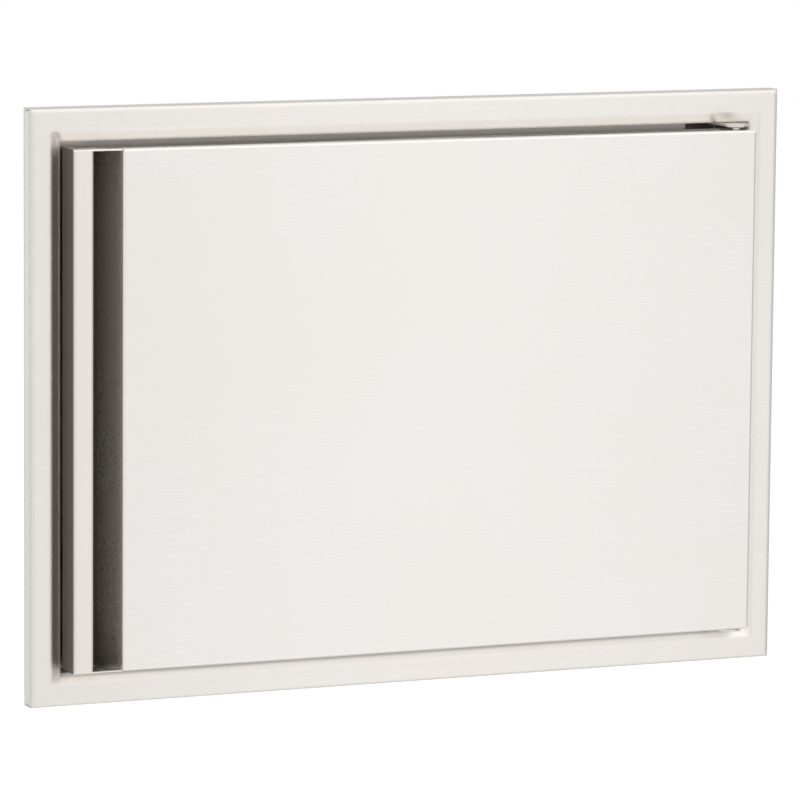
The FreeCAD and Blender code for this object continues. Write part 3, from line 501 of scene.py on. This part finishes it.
def seen_or_mirrored(tree):
    """1 for rays from the camera, metal and glass, 0 for the light that falls on matt surfaces."""
    path = tree.nodes.new("ShaderNodeLightPath")
    result = path.outputs["Is Camera Ray"]
    for kind in ("Is Glossy Ray", "Is Transmission Ray"):
        either = tree.nodes.new("ShaderNodeMath")
        either.operation = "MAXIMUM"
        tree.links.new(result, either.inputs[0])
        tree.links.new(path.outputs[kind], either.inputs[1])
        result = either.outputs[0]
    return result


def floor_material():
    """Pale matt ground with a little texture, lifted to white where the camera sees it."""
    material = bpy.data.materials.new("floor_pale")
    graph = Graph(material)
    grain = graph.noise(graph.place((1, 1, 1)), 40.0, 3.0, 0.6)
    matt = graph.add("ShaderNodeBsdfDiffuse")
    graph.link(graph.mix(grain, (0.91, 0.91, 0.91, 1.0), (0.94, 0.94, 0.94, 1.0)),
               matt.inputs["Color"])
    lift = graph.add("ShaderNodeEmission")
    strength = graph.math("MULTIPLY", seen_or_mirrored(graph.tree), FLOOR_LIFT)
    graph.link(strength, lift.inputs["Strength"])
    both = graph.add("ShaderNodeAddShader")
    graph.link(matt.outputs["BSDF"], both.inputs[0])
    graph.link(lift.outputs["Emission"], both.inputs[1])
    graph.link(both.outputs["Shader"], graph.output.inputs["Surface"])
    return material


def mirrored_tone(graph):
    """The brightness that the steel mirrors from each direction."""
    parts = graph.add("ShaderNodeSeparateXYZ")
    graph.link(graph.add("ShaderNodeTexCoord").outputs["Generated"], parts.inputs["Vector"])
    right, back, up = (parts.outputs[axis] for axis in "XYZ")
    front = graph.math("MULTIPLY", back, -1.0)
    azimuth = graph.math("ARCTAN2", right, front)
    ramp = graph.add("ShaderNodeValToRGB")
    stops = ramp.color_ramp.elements
    while len(stops) < len(HORIZON_TONES):
        stops.new(0.5)
    for stop, (degrees, tone) in zip(stops, HORIZON_TONES):
        stop.position = degrees / 360 + 0.5
        stop.color = (tone, tone, tone, 1.0)
    graph.link(graph.span(azimuth, 0, 1, -math.pi, math.pi), ramp.inputs["Fac"])
    above = graph.span(front, ABOVE_BACK, ABOVE_FRONT, -0.7, 0.6)
    below = graph.span(front, BELOW_BACK, BELOW_FRONT, 0.4, 0.8)
    down = graph.math("MULTIPLY", up, -1.0)
    upwards = graph.span(up, 0, 1, *ABOVE_BAND)
    downwards = graph.span(down, 0, 1, *BELOW_BAND)
    lowered = graph.math("MULTIPLY", ramp.outputs["Color"],
                         graph.span(down, 1.0, LOW_TONE, *LOW_BAND))
    level = graph.blend(upwards, lowered, above)
    return graph.blend(downwards, level, below)


def white_room():
    """The world: white where it is seen, a soft light, and the room's tones in the steel."""
    world = bpy.data.worlds.new("studio")
    bpy.context.scene.world = world
    world.use_nodes = True
    tree = world.node_tree
    tree.nodes.clear()
    graph = Graph(world, keep=True)
    rays = graph.add("ShaderNodeLightPath")
    seen = graph.math("MAXIMUM", rays.outputs["Is Camera Ray"],
                      rays.outputs["Is Transmission Ray"])
    direct = graph.span(seen, WORLD_DIFFUSE, 1.0)
    background = graph.add("ShaderNodeBackground")
    background.inputs["Color"].default_value = (1.0, 1.0, 1.0, 1.0)
    graph.link(graph.blend(rays.outputs["Is Glossy Ray"], direct, mirrored_tone(graph)),
               background.inputs["Strength"])
    output = graph.add("ShaderNodeOutputWorld")
    graph.link(background.outputs["Background"], output.inputs["Surface"])


def studio_floor():
    """The ground under the door, which isn't part of it and isn't mirrored in its steel."""
    half = FLOOR_SIDE / 2
    mesh = bpy.data.meshes.new("studio_floor")
    corners = [(-half, -half, 0), (half, -half, 0), (half, half, 0), (-half, half, 0)]
    mesh.from_pydata(corners, [], [(0, 1, 2, 3)])
    floor = bpy.data.objects.new("studio_floor", mesh)
    floor.data.materials.append(floor_material())
    bpy.context.scene.collection.objects.link(floor)
    floor.location.z = CAD_BOX[0].z - FLOOR_DROP
    floor.visible_glossy = False


def area_lamp(name, place, size, power):
    """A soft lamp that shines at the door and isn't mirrored in its steel."""
    lamp = bpy.data.lights.new(name, "AREA")
    lamp.shape = "RECTANGLE"
    lamp.size, lamp.size_y = size
    lamp.energy = power
    holder = bpy.data.objects.new(name, lamp)
    holder.location = place
    holder.rotation_mode = "QUATERNION"
    holder.rotation_quaternion = (-Vector(place)).to_track_quat("-Z", "Y")
    holder.visible_glossy = False
    bpy.context.scene.collection.objects.link(holder)


def lamps():
    area_lamp("lamp_above_front", (0.2, -2.4, 2.4), (3.2, 1.6), 22.0)
    area_lamp("lamp_right", (2.6, -0.6, 1.2), (1.2, 1.2), 4.0)


def photo_camera():
    """The camera at the photograph's angle."""
    forward = Vector((math.sin(CAMERA_AZIMUTH) * math.cos(CAMERA_ELEVATION),
                      math.cos(CAMERA_AZIMUTH) * math.cos(CAMERA_ELEVATION),
                      -math.sin(CAMERA_ELEVATION)))
    level = Vector((math.cos(CAMERA_AZIMUTH), -math.sin(CAMERA_AZIMUTH), 0.0))
    steep = level.cross(forward)
    right = level * math.cos(CAMERA_ROLL) + steep * math.sin(CAMERA_ROLL)
    up = steep * math.cos(CAMERA_ROLL) - level * math.sin(CAMERA_ROLL)
    place = right * AIM_RIGHT + up * AIM_UP - forward * CAMERA_DISTANCE
    data = bpy.data.cameras.new("photo_camera")
    data.lens = CAMERA_LENS
    data.sensor_width = 36.0
    data.clip_start = 0.1
    data.clip_end = 60.0
    camera = bpy.data.objects.new("photo_camera", data)
    camera.matrix_world = Matrix((
        (right.x, up.x, -forward.x, place.x),
        (right.y, up.y, -forward.y, place.y),
        (right.z, up.z, -forward.z, place.z),
        (0.0, 0.0, 0.0, 1.0)))
    bpy.context.scene.collection.objects.link(camera)
    bpy.context.scene.camera = camera


dress_nodes()
coil_spring()
screws()
white_room()
studio_floor()
lamps()
photo_camera()
bpy.context.scene.view_settings.view_transform = "Standard"
